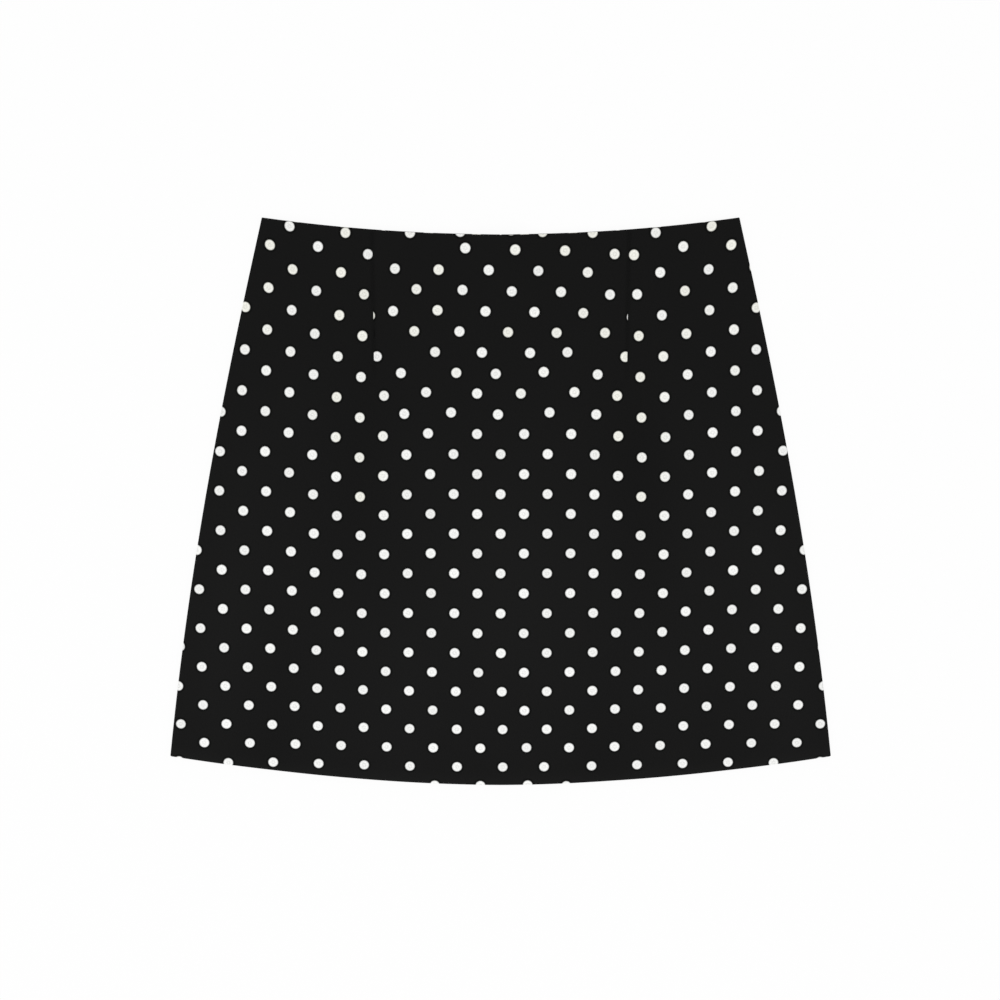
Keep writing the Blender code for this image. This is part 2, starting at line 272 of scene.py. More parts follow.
# Dots off their place where the darts and the seams draw the cloth: row, column, and how far across
# and down, to the half mm
strayDots = {
    "betweenDarts": {
        -17: {-5: (10, 5), -3: (13.5, 4), -1: (14.5, 1.5), 1: (0.5, 2), 3: (0.5, 1)},
        -15: {-3: (-1, 1)},
        -14: {-6: (0, 18.5)},
        -12: {4: (0, -1.5)},
        -11: {-5: (-11, 2.5), 3: (-8, -1)},
        -10: {-4: (-8.5, 0), 0: (-6, 0.5), 2: (-5.5, -1)},
        -9: {-3: (-3.5, -1), 1: (-2.5, 0), 3: (3, -1)},
        -8: {-4: (-2, -0.5), -2: (-2, -1), 0: (-2, 0.5), 2: (1.5, -1), 4: (1.5, 0)},
        -7: {-3: (-1.5, -0.5)},
        9: {1: (1.5, -0.5)},
        10: {2: (-2, 0)},
        11: {-5: (0, 4), -3: (1, 0), 1: (2.5, -0.5), 3: (-2, 0.5), 5: (0, 4)},
    },
    "besideDarts": {
        -17: {-9: (-4, 2.5), -7: (2, 2), 7: (-2, 2), 9: (4, 2.5)},
        -16: {-6: (1.5, 1.5), 6: (-1, 2)},
        -15: {-9: (-0.5, 2.5), 9: (0.5, 2.5), 11: (-1, 0)},
        -13: {-11: (1, -1), 11: (-0.5, -0.5)},
        -11: {-11: (1.5, 0), 11: (-1.5, 0)},
        -9: {11: (-1.5, 0)},
        -8: {-12: (2, 1), 12: (-1, 0.5)},
        -7: {11: (-1.5, 0)},
        -6: {-12: (1.5, 0.5)},
        -1: {-13: (-1, 0), 13: (1, 0)},
        4: {-14: (1.5, -1)},
        6: {-14: (-1, 0), 14: (1.5, 0)},
        10: {-14: (-2.5, -0.5), -12: (0.5, 1), 12: (0, 1), 14: (1, 0)},
    },
}
bareDots = {"betweenDarts": [(-16, -6), (-16, -4)]}  # rows and columns that the darts swallow


# where a point of the front lies on the straight print: (across, down)
def printPlace(x, y, zone):
    p = printLay
    out = abs(x)
    side = 1 if x > 0 else -1
    bowed = (x / p["bowAt"]) ** 2
    rise = p["bow"] * bowed - p["bowEase"] * bowed**2
    for swell, across, spread, span in p["swells"]:
        rise += swell * bump(out - across, spread) * rising(y, span)
    low, high = p["inwardSpan"]
    drawn = max(0.0, (y - low) / (high - low)) ** p["inwardPower"]
    moved = -side * p["inward"] * drawn * smooth(out / dart["offset"])
    if zone == "betweenDarts":
        lean = max(0.0, (y - dart["tipY"]) / (p["leanTo"] - dart["tipY"])) ** p["leanPower"]
        moved *= fade(lean, 0, p["leanFrees"])
        moved += lean * (p["lean"] + p["leanSpread"] * x)
        moved += p["crowd"] * rising(-x, p["crowdAcross"]) * smooth(lean / p["crowdBy"])
        rise += lean * p["leanTurn"] * x
    hem = bump(x - p["hemShiftAt"], p["hemShiftSpread"]) * rising(y, p["hemShiftSpan"])
    return x - moved - p["hemShift"] * hem, p["rowStart"] + rise - y


# the back's print is straight but for what its darts take up
def backPrintPlace(x, y, zone):
    bowed = (x / printLay["bowAt"]) ** 2
    drawn = max(0.0, (y - backDart["tipY"]) / (skirt["waistY"] - backDart["tipY"]))
    taken = 0 if zone == "betweenDarts" else backDart["intake"] * drawn * (1 if x > 0 else -1)
    return x + taken, printLay["rowStart"] + printLay["bow"] * bowed - y


# each dot's place on the straight print, and its centre on the flat cloth
def chartDots(placeAt, zone, strays, bare):
    chart = []
    firstRow, lastRow = printLay["rows"]
    firstColumn, lastColumn = printLay["columns"]
    for row in range(firstRow, lastRow + 1):
        for column in range(firstColumn, lastColumn + 1):
            if (row + column) % 2 or (row, column) in bare:
                continue
            across = column * printLay["acrossPitch"] / 2
            down = row * printLay["downPitch"] / 2
            x, y = across, printLay["rowStart"] - down
            for step in range(printLay["tries"]):
                reachedAcross, reachedDown = placeAt(x, y, zone)
                x, y = x + across - reachedAcross, y + reachedDown - down
            strayAcross, strayDown = strays.get(row, {}).get(column, (0, 0))
            chart.append((across, down, Vector((x + strayAcross * mm, y - strayDown * mm, 0))))
    return chart


# a step across and down from a dot's centre, as it is on the cloth before that pull
def unpulled(centre, across, down):
    p = dotPull
    side = 1 if centre.x > 0 else -1
    out = abs(centre.x)
    tall = p["taller"] * rising(centre.y, p["tallerSpan"])
    narrow = p["narrower"] * rising(out, p["narrowerAcross"]) * rising(centre.y, p["narrowerSpan"])
    slant = side * p["slant"] * rising(out, p["slantAcross"]) * rising(centre.y, p["slantSpan"])
    return (across + slant * down) * (1 + narrow), down / (1 + tall)


# gives printAt for a panel: the shader's coordinates of a point, counted from the dot that is
# nearest to its face, so that every dot is whole
def printOn(placeAt, dartOffset, strays, bare):
    charts = {}
    for zone in ("betweenDarts", "besideDarts"):
        chart = chartDots(placeAt, zone, strays.get(zone, {}), bare.get(zone, ()))
        finder = kdtree.KDTree(len(chart))
        for i, dot in enumerate(chart):
            finder.insert(dot[2], i)
        finder.balance()
        charts[zone] = (finder, chart)
    bareCloth = (printLay["acrossPitch"] / 2, 0.0)

    def printAt(x, y, faceMiddle):
        finder, chart = charts["betweenDarts" if abs(faceMiddle[0]) < dartOffset else "besideDarts"]
        centre, i, away = finder.find((*faceMiddle, 0))
        if away > printLay["dotReach"]:
            return bareCloth
        across, down = unpulled(centre, x - centre.x, centre.y - y)
        return chart[i][0] + across, chart[i][1] + down

    return printAt


# Shader helpers. Inputs are in order, or by number or name; a socket among them is linked
def setInputs(node, inputs):
    for key, value in inputs.items() if isinstance(inputs, dict) else enumerate(inputs):
        if isinstance(value, bpy.types.NodeSocket):
            node.id_data.links.new(value, node.inputs[key])
        else:
            node.inputs[key].default_value = value


def addNode(tree, kind, inputs=(), **settings):
    node = tree.nodes.new(kind)
    for key, value in settings.items():
        setattr(node, key, value)
    setInputs(node, inputs)
    return node


def calculator(tree):
    def calc(operation, *values):
        return addNode(tree, "ShaderNodeMath", values, operation=operation).outputs[0]

    return calc


def onVectors(tree, operation, *values):
    node = addNode(tree, "ShaderNodeVectorMath", values, operation=operation)
    return node.outputs["Value" if operation == "LENGTH" else "Vector"]


def noise(tree, place, scale, detail):
    inputs = {"Vector": place, "Scale": scale, "Detail": detail}
    return addNode(tree, "ShaderNodeTexNoise", inputs).outputs[0]


# 1 up to the first value, falling smoothly to 0 at the second
def fallOff(tree, value, start, end):
    inputs = {"Value": value, "From Min": start, "From Max": end, "To Min": 1.0, "To Max": 0.0}
    return addNode(tree, "ShaderNodeMapRange", inputs, interpolation_type="SMOOTHSTEP").outputs[0]


def mixColour(tree, factor, first, second, blend="MIX"):
    inputs = {0: factor, 6: first, 7: second}
    return addNode(tree, "ShaderNodeMix", inputs, data_type="RGBA", blend_type=blend).outputs[2]


def multiplied(tree, colour, *factors):
    for factor in factors:
        grey = addNode(tree, "ShaderNodeCombineColor", (factor, factor, factor)).outputs[0]
        colour = mixColour(tree, 1.0, colour, grey, "MULTIPLY")
    return colour


# the socket Place is a vector, and each of the others a value
def newGroup(name, inputs, outputs):
    group = bpy.data.node_groups.new(name, "ShaderNodeTree")
    for label in inputs:
        kind = "NodeSocketVector" if label == "Place" else "NodeSocketFloat"
        group.interface.new_socket(label, in_out="INPUT", socket_type=kind)
    for label in outputs:
        group.interface.new_socket(label, in_out="OUTPUT", socket_type="NodeSocketFloat")
    return group, addNode(group, "NodeGroupInput").outputs


def putOut(group, **values):
    addNode(group, "NodeGroupOutput", values)


def useGroup(tree, group, **values):
    return addNode(tree, "ShaderNodeGroup", values, node_tree=group).outputs


# round dots in staggered rows, with a soft edge, each a little different in size and tone. The ink
# lies in a faint ring, and the black is deepest close round the dot
def buildDotGroup():
    inputs = ["Place", "Across", "Down", "Radius", "Softness", "Unevenness", "Bleed", "FibreScale"]
    inputs += ["RingWidth", "HaloFrom", "HaloTo"]
    group, given = newGroup("staggeredDots", inputs, ("Mask", "Tone", "Warmth", "Ring", "Halo"))
    calc = calculator(group)
    half = (0.5, 0.5, 0.5)
    pitch = addNode(group, "ShaderNodeCombineXYZ", (given["Across"], given["Down"], 1.0)).outputs[0]
    counted = onVectors(group, "DIVIDE", given["Place"], pitch)
    found = []
    for shift in ((0.5, 0.5, 0.5), (0.0, 0.0, 0.5)):  # the two sets of rows
        moved = onVectors(group, "ADD", counted, shift)
        inCell = onVectors(group, "SUBTRACT", onVectors(group, "FRACTION", moved), half)
        distance = onVectors(group, "LENGTH", onVectors(group, "MULTIPLY", inCell, pitch))
        found.append((distance, onVectors(group, "ADD", onVectors(group, "FLOOR", moved), shift)))
    (firstDistance, firstCell), (secondDistance, secondCell) = found
    firstIsNearer = calc("LESS_THAN", firstDistance, secondDistance)
    cells = {0: firstIsNearer, 4: secondCell, 5: firstCell}
    cell = addNode(group, "ShaderNodeMix", cells, data_type="VECTOR").outputs[1]
    random = addNode(group, "ShaderNodeTexWhiteNoise", {"Vector": cell}).outputs
    spread = calc("MULTIPLY", calc("SUBTRACT", random["Value"], 0.5), given["Unevenness"])
    radius = calc("MULTIPLY", given["Radius"], calc("ADD", spread, 1.0))
    fibres = noise(group, given["Place"], given["FibreScale"], detail=1.0)
    ragged = calc("MULTIPLY", calc("SUBTRACT", fibres, 0.5), given["Bleed"])
    nearest = calc("MINIMUM", firstDistance, secondDistance)
    edge = (calc("SUBTRACT", radius, given["Softness"]), calc("ADD", radius, given["Softness"]))
    around = (calc("ADD", radius, given["HaloFrom"]), calc("ADD", radius, given["HaloTo"]))
    turned = calc("DIVIDE", calc("MULTIPLY", nearest, 2 * pi), given["RingWidth"])
    putOut(
        group,
        Mask=fallOff(group, calc("ADD", nearest, ragged), *edge),
        Tone=random["Value"],
        Warmth=addNode(group, "ShaderNodeSeparateColor", (random["Color"],)).outputs["Green"],
        Ring=calc("COSINE", turned),
        Halo=fallOff(group, nearest, *around),
    )
    return group


weaveForm = {
    "plunge": 0.4,  # how much lower a thread is where it goes under
    "gaps": 0.64,  # painted shade: tone between the threads, and what a thread's top adds
    "tops": 0.4,
    "slubs": 0.3,
    "slubScale": 900.0,
}


# plain weave: warp and weft threads that pass over and under each other
def buildWeaveGroup():
    form = weaveForm
    group, given = newGroup("plainWeave", ("Place", "Thread"), ("Height", "Tone"))
    calc = calculator(group)
    inverse = calc("DIVIDE", pi, given["Thread"])
    inputs = {0: given["Place"], "Scale": inverse}
    counted = addNode(group, "ShaderNodeVectorMath", inputs, operation="SCALE").outputs[0]
    parts = addNode(group, "ShaderNodeSeparateXYZ", (counted,)).outputs
    warp, weft = calc("SINE", parts[0]), calc("SINE", parts[1])
    warpOnTop = calc("GREATER_THAN", calc("MULTIPLY", warp, weft), 0.0)
    warpRound, weftRound = calc("ABSOLUTE", warp), calc("ABSOLUTE", weft)
    heights = []
    for across, along in ((warpRound, weftRound), (weftRound, warpRound)):
        crest = calc("MULTIPLY_ADD", along, form["plunge"], 1 - form["plunge"])
        heights.append(calc("MULTIPLY", across, crest))
    top = addNode(group, "ShaderNodeMix", {0: warpOnTop, 2: heights[1], 3: heights[0]}).outputs[0]
    # painted shade: the tone follows the threads' height, darker where they dip, with real slubs added
    # below
    threads = calc("MULTIPLY_ADD", top, form["tops"], form["gaps"])
    slub = noise(group, given["Place"], form["slubScale"], detail=2.0)
    putOut(group, Height=top, Tone=calc("MULTIPLY_ADD", slub, form["slubs"], threads))
    return group


# broad, faint changes of tone, as where cloth was handled and pressed
def buildShadeGroup():
    group, given = newGroup("broadShade", ("Scale", "Amount"), ("Factor",))
    calc = calculator(group)
    place = addNode(group, "ShaderNodeTexCoord").outputs["Object"]
    cloud = calc("SUBTRACT", noise(group, place, given["Scale"], detail=3.0), 0.5)
    putOut(group, Factor=calc("ADD", calc("MULTIPLY", cloud, given["Amount"]), 1.0))
    return group


dotGroup = buildDotGroup()
weaveGroup = buildWeaveGroup()
shadeGroup = buildShadeGroup()


def newFinish(name, roughness, specular, metallic=0.0):
    finish = bpy.data.materials.new(name)
    finish.use_nodes = True
    shader = finish.node_tree.nodes["Principled BSDF"]
    setInputs(shader, {"Roughness": roughness, "Specular IOR Level": specular, "Metallic": metallic})
    return finish, finish.node_tree, shader


def raiseThreads(tree, shader, weave, strength, height):
    inputs = {"Height": weave["Height"], "Strength": strength, "Distance": height}
    setInputs(shader, {"Normal": addNode(tree, "ShaderNodeBump", inputs).outputs[0]})


# Painted light and shade in the black's colour: lighter on ridges and, as a painted sheen, towards the
# hem; darker as painted shade in troughs and along darts
paintedShading = {
    "waist": -0.05,
    "low": 0.17,
    "lowAt": 0.75,  # of the length
    "hem": 0.11,
    "edge": 0.20,  # along the very edge of the hem
    "edgeBand": 12 * mm,
    "ridge": 0.16,
    "dart": 0.14,
    "dartBand": 3.5 * mm,
    "dartFade": 1 / 4,  # of the dart's length
}

cottonLook = {
    "black": (0.0061, 0.0061, 0.0060, 1),
    "dot": (0.802, 0.806, 0.793, 1),
    "ivory": (0.786, 0.783, 0.722, 1),
    "ivoryShare": 0.08,
    "ivoryAtWaist": 2.0,  # more ivory where the painted shade is deepest, as at the waist
    "ivoryUpTo": 0.06,  # no more than its share where the painted light and shade is above this
    "ivoryRarity": 1.6,  # higher, and fewer dots take more of it
    "dotToneSpread": 0.09,
    "dotPaintedLight": 0.12,  # how much of the cloth's painted light and shade shows on the dots
    "dotThreads": 0.3,  # and of its threads
    "dotMottle": 0.5,
    "mottleScale": 1000.0,
    "ringDepth": 0.07,
    "haloDepth": 0.5,
    "thread": 0.42 * mm,
    "threadHeight": 0.08 * mm,
    "weaveBump": 0.6,
    "roughness": 0.88,
    "specular": 0.07,
    "reverseShare": 0.35,  # how much of the print shows through on the reverse
    "shade": {"Scale": 9.0, "Amount": 0.16},
    "dots": {
        "Radius": 3.725 * mm,
        "Softness": 0.41 * mm,
        "Unevenness": 0.04,
        "Bleed": 0.25 * mm,
        "FibreScale": 1400.0,
        "RingWidth": 2.45 * mm,
        "HaloFrom": 1.4 * mm,
        "HaloTo": 2.3 * mm,
    },
}


# printShare is how much of the print shows
def cottonFinish(name, printShare=1.0):
    look = cottonLook
    finish, tree, shader = newFinish(name, look["roughness"], look["specular"])
    calc = calculator(tree)

    # a factor that is 1 where the value is neutral
    def factor(value, amount, neutral=0.5):
        return calc("MULTIPLY_ADD", value, amount, 1 - amount * neutral)

    place = addNode(tree, "ShaderNodeUVMap", uv_map="cloth").outputs[0]
    grain = addNode(tree, "ShaderNodeUVMap", uv_map="grain").outputs[0]
    pitch = {"Across": printLay["acrossPitch"], "Down": printLay["downPitch"]}
    dots = useGroup(tree, dotGroup, Place=place, **pitch, **look["dots"])
    weave = useGroup(tree, weaveGroup, Place=grain, Thread=look["thread"])
    shade = useGroup(tree, shadeGroup, **look["shade"])
    # painted light and shade, carried by the mesh, lightens and darkens the black
    paintedLightShade = addNode(tree, "ShaderNodeAttribute", attribute_name="paintedLightShade").outputs["Fac"]
    paintedLightFactor = calc("ADD", paintedLightShade, 1.0)
    halo = factor(dots["Halo"], -look["haloDepth"], neutral=0)
    # the weave's tone paints shade between the threads, on the black and, through dotThreads, on the dots
    ground = multiplied(tree, look["black"], weave["Tone"], shade["Factor"], paintedLightFactor, halo)
    # painted shade on the dots: they turn more ivory where the painted shade is deepest
    mostShadedRange = {"Value": paintedLightShade, "From Min": look["ivoryUpTo"], "From Max": paintedShading["waist"]}
    mostShaded = addNode(tree, "ShaderNodeMapRange", mostShadedRange, clamp=True).outputs[0]
    most = calc("MULTIPLY_ADD", calc("MULTIPLY", mostShaded, mostShaded), look["ivoryAtWaist"], look["ivoryShare"])
    rare = calc("POWER", dots["Warmth"], look["ivoryRarity"])
    warmth = calc("MINIMUM", calc("MULTIPLY", rare, most), 1.0)
    specks = noise(tree, grain, look["mottleScale"], detail=1.0)
    ink = multiplied(
        tree,
        mixColour(tree, warmth, look["dot"], look["ivory"]),
        factor(dots["Tone"], look["dotToneSpread"]),
        factor(weave["Tone"], look["dotThreads"], neutral=1),
        factor(specks, look["dotMottle"]),
        factor(dots["Ring"], look["ringDepth"], neutral=0),
        factor(paintedLightShade, look["dotPaintedLight"], neutral=0),
    )
    mask = calc("MULTIPLY", dots["Mask"], printShare)
    setInputs(shader, {"Base Color": mixColour(tree, mask, ground, ink)})
    raiseThreads(tree, shader, weave, look["weaveBump"], look["threadHeight"])
    return finish


cottonFace = cottonFinish("blackDottedCotton")
cottonReverse = cottonFinish("blackDottedCottonReverse", cottonLook["reverseShare"])
print("cotton finish ready")


# rows from the turned waist edge to the turned hem: (share of the length, depth under the outer
# face, share of the length laid out flat)
def turnedRows(rowCount):
    length, radius, steps = skirt["frontLength"], skirt["turnRadius"], skirt["turnSteps"]
    first, last = radius / length, 1 - radius / length
    rolled = pi * radius / length
    face = [first + (last - first) * i / (rowCount - 1) for i in range(rowCount)]
    waist, hem = [], []
    for i in range(steps):
        angle = pi * (i + 1) / steps
        under = radius * (1 - cos(angle))
        out, along = sin(angle) * radius / length, radius * angle / length
        waist.append((first - out, under, first - along))
        hem.append((last + out, under, last + along))

    def inside(edge):
        count = skirt[edge + "TurningRows"]
        return [skirt[edge + "Turning"] / length * (i + 1) / count for i in range(count)]

    waist += [(first + back, 2 * radius, first - rolled - back) for back in inside("waist")]
    hem += [(last - back, 2 * radius, last + rolled + back) for back in inside("hem")]
    return list(reversed(waist)) + [(down, 0.0, down) for down in face] + hem


seamGroove = ((0, 0.16), (0.09, 0.08), (0.28, 0.03), (0.55, 0.015))  # mm inwards, and off the seam


# (out, drop, angle of the face, out laid flat) round a side fold, ending in the side seam's groove
def sideFold(steps):
    radius = skirt["foldRadius"]
    half = skirt["edgeHeight"] / 2
    turned = []
    for i in range(steps):
        angle = pi / 2 * (i + 1) / steps
        turned.append((radius * sin(angle), radius * (1 - cos(angle)), angle))
    turned += [(radius - inward * mm, half - off * mm, pi / 2) for inward, off in seamGroove]
    return [(out, drop, angle, radius * angle + max(0, drop - radius)) for out, drop, angle in turned]


# a sheet of cloth, still without thickness. pointAt gives a grid point's place, its place laid out
# flat, and its painted light and shade; printAt the print's coordinates of a flat place and its face's
# middle
def sheetMesh(across, along, pointAt, printAt):
    shape = bmesh.new()
    bmesh.ops.create_grid(shape, x_segments=across - 1, y_segments=along - 1, size=1)
    paintedLightShade = shape.verts.layers.float.new("paintedLightShade")
    flatPlace = []
    for point in shape.verts:
        column = round((point.co.x + 1) / 2 * (across - 1))
        row = round((1 - point.co.y) / 2 * (along - 1))
        point.co, flat, point[paintedLightShade] = pointAt(column, row)
        flatPlace.append(flat)
    shape.verts.index_update()
    cloth = shape.loops.layers.uv.new("cloth")
    grain = shape.loops.layers.uv.new("grain")
    bake = shape.loops.layers.uv.new("OFBake")
    low = [min(flat[axis] for flat in flatPlace) for axis in (0, 1)]
    size = [max(flat[axis] for flat in flatPlace) - low[axis] for axis in (0, 1)]
    for face in shape.faces:
        corners = [flatPlace[loop.vert.index] for loop in face.loops]
        middle = [sum(corner[axis] for corner in corners) / len(corners) for axis in (0, 1)]
        for loop, corner in zip(face.loops, corners):
            loop[cloth].uv = printAt(*corner, middle)
            loop[grain].uv = corner
            loop[bake].uv = [(corner[axis] - low[axis]) / size[axis] for axis in (0, 1)]
    return shape


def addObject(name, data):
    made = bpy.data.objects.new(name, data)
    bpy.context.scene.collection.objects.link(made)
    return made


def asMesh(obj):
    graph = bpy.context.evaluated_depsgraph_get()
    return bpy.data.meshes.new_from_object(obj.evaluated_get(graph))


# gives the sheet its thickness on the inner side, where the cloth's reverse shows
def closedShell(name, shape, finishes, thickness=skirt["plyThickness"]):
    mesh = bpy.data.meshes.new(name)
    shape.to_mesh(mesh)
    shape.free()
    for finish in finishes:
        mesh.materials.append(finish)
    sheet = addObject(name, mesh)
    ply = sheet.modifiers.new("ply", "SOLIDIFY")
    ply.thickness = thickness
    ply.offset = -1
    ply.use_even_offset = True
    ply.material_offset = 1
    thick = asMesh(sheet)
    sheet.modifiers.clear()
    sheet.data = thick
    layBakeMap(thick, len(mesh.vertices))
    thick.shade_smooth()
    return sheet


# The outer face fills most of the bake map, and the reverse and the cut edges have a strip each
bakeStrips = {"outer": (0.10, 1.0), "reverse": (0.01, 0.07), "edge": (0.075, 0.095)}
bakeMargin = 0.002


def layBakeMap(mesh, outerCount):
    bake = mesh.uv_layers["OFBake"].uv
    for face in mesh.polygons:
        inner = sum(v >= outerCount for v in face.vertices)
        strip = "outer" if inner == 0 else "reverse" if inner == len(face.vertices) else "edge"
        low, high = bakeStrips[strip]
        for i in face.loop_indices:
            u, v = [bakeMargin + (1 - 2 * bakeMargin) * share for share in bake[i].vector]
            bake[i].vector = (u, low + (high - low) * v)


# a painted sheen: the black is lighter towards the hem and along its very edge, and a little darker at the
# waist
def paintedHemSheen(down):
    faded = paintedShading["waist"] + (paintedShading["low"] - paintedShading["waist"]) * smooth(down / paintedShading["lowAt"])
    faded += (paintedShading["hem"] - paintedShading["low"]) * rising(down, (paintedShading["lowAt"], 1))
    return faded + paintedShading["edge"] * fade(skirt["frontLength"] * (1 - down), 0, paintedShading["edgeBand"])


# painted light on the folds' ridges, and painted shade in their troughs and in a band along each dart,
# over the painted sheen
def paintedLightShadeAt(x, down):
    highest = max(abs(fold["height"]) for fold in frontFolds)
    ridge = paintedShading["ridge"] * foldRelief(x / halfWidth(down), down) / highest
    alongDart = smooth((1 - belowWaist(down) / dart["length"]) / paintedShading["dartFade"])
    band = paintedShading["dart"] * fade(abs(x) - dart["offset"], 0, paintedShading["dartBand"]) * alongDart
    return paintedHemSheen(down) + ridge - band


frontPanel = {
    "centreSpacing": 3.1 * mm,
    "besideDart": 9 * mm,
    # mm from the dart's line
    "dartColumns": (-7, -5.2, -3.8, -2.8, -2, -1.45, -1, -0.6, -0.3, 0, 0.3, 0.6, 1, 1.45, 2.1, 3.2),
    "outerColumns": 40,
    "outerPower": 1.15,  # above 1, they are closer together towards the side
    "rows": 142,
    "foldSteps": 7,
}


# from the centre front to the side seam, on one side
def frontColumns():
    plain = dart["offset"] - frontPanel["besideDart"]
    count = round(plain / frontPanel["centreSpacing"])
    columns = [("fromCentre", plain * i / count) for i in range(count + 1)]
    columns += [("fromCentre", dart["offset"] + past * mm) for past in frontPanel["dartColumns"]]
    shares = [(i + 1) / frontPanel["outerColumns"] for i in range(frontPanel["outerColumns"])]
    columns += [("outside", 1 - (1 - share) ** frontPanel["outerPower"]) for share in shares]
    return columns + [("fold", point) for point in sideFold(frontPanel["foldSteps"])]


# (x, drop below the level cloth, angle of the face, x laid out flat)
def frontPlace(column, down):
    kind, value = column
    flatEnd = halfWidth(down) - skirt["foldRadius"]
    if kind == "fold":
        out, drop, angle, flatOut = value
        return flatEnd + out, drop, angle, flatEnd + flatOut
    x = value
    if kind == "outside":
        start = dart["offset"] + frontPanel["dartColumns"][-1] * mm
        x = start + (flatEnd - start) * value
    return x, 0.0, 0.0, x


def makeFront():
    half = frontColumns()
    rows = turnedRows(frontPanel["rows"])
    middle = len(half) - 1

    def pointAt(column, row):
        side = 1 if column >= middle else -1
        down, under, flatDown = rows[row]
        x, drop, angle, flatX = frontPlace(half[abs(column - middle)], down)
        level = frontHeight(side * x, down) - drop
        faceOut = Vector((side * sin(angle), 0, cos(angle)))
        place = Vector((side * x, rowY(down, x), level)) - faceOut * under
        return place, (side * flatX, rowY(flatDown, x)), paintedLightShadeAt(side * x, down)

    printAt = printOn(printPlace, dart["offset"], strayDots, bareDots)
    shape = sheetMesh(2 * middle + 1, len(rows), pointAt, printAt)
    return closedShell("frontPanel", shape, (cottonFace, cottonReverse))


frontCloth = makeFront()
print("front panel:", len(frontCloth.data.polygons), "faces")

# The back, which lies face down
backPanel = {
    "columns": 48,
    "rows": 110,
    "foldSteps": 6,
    # mm from the seam and up, from the joined edges out to the level cloth
    "seamEdge": ((0.02, 0.55), (0.05, 0.28), (0.14, 0.09), (0.34, 0.0)),
    "neckHalf": 0.8 * mm,  # half the opening that the slider's bridge passes through
    "neckDown": (13 * mm, 21 * mm),
}


def makeBack(name, side):
    count = backPanel["columns"]
    seamEdge = backPanel["seamEdge"]
    columns = [("seam", point) for point in seamEdge]
    columns += [("level", i / count) for i in range(1, count + 1)]
    columns += [("fold", point) for point in sideFold(backPanel["foldSteps"])]
    rows = turnedRows(backPanel["rows"])

    def pointAt(column, row):
        kind, value = columns[column if side > 0 else len(columns) - 1 - column]
        down, under, flatDown = rows[row]
        flatEnd = halfWidth(down) - skirt["foldRadius"]
        parted = backPanel["neckHalf"] * fade(belowWaist(down), *backPanel["neckDown"])
        angle = 0.0
        if kind == "seam":
            x, z = parted + value[0] * mm, value[1] * mm
            flatX = x - z
        elif kind == "level":
            start = parted + seamEdge[-1][0] * mm
            x = flatX = start + (flatEnd - start) * value
            z = dartGroove(backDart, x - backDart["offset"], 1 - belowWaist(down) / backDart["length"])
        else:
            x, z, angle, flatX = value
            x, flatX = flatEnd + x, flatEnd + flatX
        faceOut = Vector((side * sin(angle), 0, -cos(angle)))
        place = Vector((side * x, rowY(down, x), z + pullLift(x, down))) - faceOut * under
        # the back takes only the painted sheen towards the hem
        return place, (side * flatX, rowY(flatDown, x)), paintedHemSheen(down)

    printAt = printOn(backPrintPlace, backDart["offset"], {}, {})
    shape = sheetMesh(len(columns), len(rows), pointAt, printAt)
    bmesh.ops.reverse_faces(shape, faces=shape.faces)
    return closedShell(name, shape, (cottonFace, cottonReverse))


backLeftCloth = makeBack("backLeftPanel", 1)
backRightCloth = makeBack("backRightPanel", -1)
print("back panels:", len(backLeftCloth.data.polygons), "faces each")

# The concealed zip: its tapes lie on the inner face of the back, coils up
zipFit = {
    "top": 3 * mm,  # below the waist edge
    "length": 190 * mm,
    "tapeWidth": 12 * mm,
    "tapeBase": 1.62 * mm,  # over the back's outer face
    "tapeThickness": 0.35 * mm,
    "tapeGrid": (9, 96),
    "tapeGap": 0.15 * mm,  # from the middle of a coil
    "sliderRise": 0.4 * mm,  # of the tape, where it passes through the slider
    "riseAcross": (3 * mm, 6.5 * mm),
    "riseDown": (5 * mm, 9 * mm),  # from the middle of the slider
    "pivotBelow": 8 * mm,  # the middle of the slider and of its bridge, below the waist edge
    "partedDown": (5 * mm, 12 * mm),  # the coils part between these two places in the slider
    "coilParted": 1.42 * mm,  # from the middle
    "coilMeshed": 0.45 * mm,
    "coilHalf": (0.5 * mm, 0.28 * mm),  # of one turn, across and up
    "coilStart": 0.6 * mm,  # below the tape's end
    "coilShorter": 5 * mm,  # than the tape
    "wire": 0.14 * mm,
    "pitch": 0.75 * mm,
    "turnSteps": 10,
}
zipFit["pivotY"] = skirt["waistY"] - zipFit["pivotBelow"]

tapeStitch = {
    "across": 6 * mm,
    "waver": 0.05 * mm,
    "waverTurn": 2.1,  # from one stitch to the next
    "start": 4 * mm,  # below the tape's end
    "shorter": 8 * mm,  # than the tape
    "length": 2.2 * mm,
    "gap": 0.9 * mm,
    "arc": 0.14 * mm,
    "sunk": 0.05 * mm,
    "steps": 6,
    "thread": 0.15 * mm,
}


def coilPlace(below):
    meshed, parted = zipFit["coilMeshed"], zipFit["coilParted"]
    return meshed + (parted - meshed) * fade(below, *zipFit["partedDown"])


# height of the tape's upper face
def tapeLevel(x, below):
    along = fade(below - zipFit["pivotBelow"], *zipFit["riseDown"])
    rise = zipFit["sliderRise"] * along * fade(x, *zipFit["riseAcross"])
    lift = pullLift(x, below / skirt["frontLength"])
    return lift + zipFit["tapeBase"] + zipFit["tapeThickness"] + rise


def makeTape(name, side):
    across, along = zipFit["tapeGrid"]

    def pointAt(column, row):
        share = (column if side > 0 else across - 1 - column) / (across - 1)
        below = zipFit["top"] + zipFit["length"] * row / (along - 1)
        start = coilPlace(below) + zipFit["tapeGap"]
        x = start + (zipFit["tapeWidth"] - start) * share
        place = Vector((side * x, atBelow(x, below), tapeLevel(x, below)))
        return place, (side * x, place.y), 0.0

    shape = sheetMesh(across, along, pointAt, lambda x, y, middle: (x, y))
    return closedShell(name, shape, (tapeFinish, tapeFinish), zipFit["tapeThickness"])


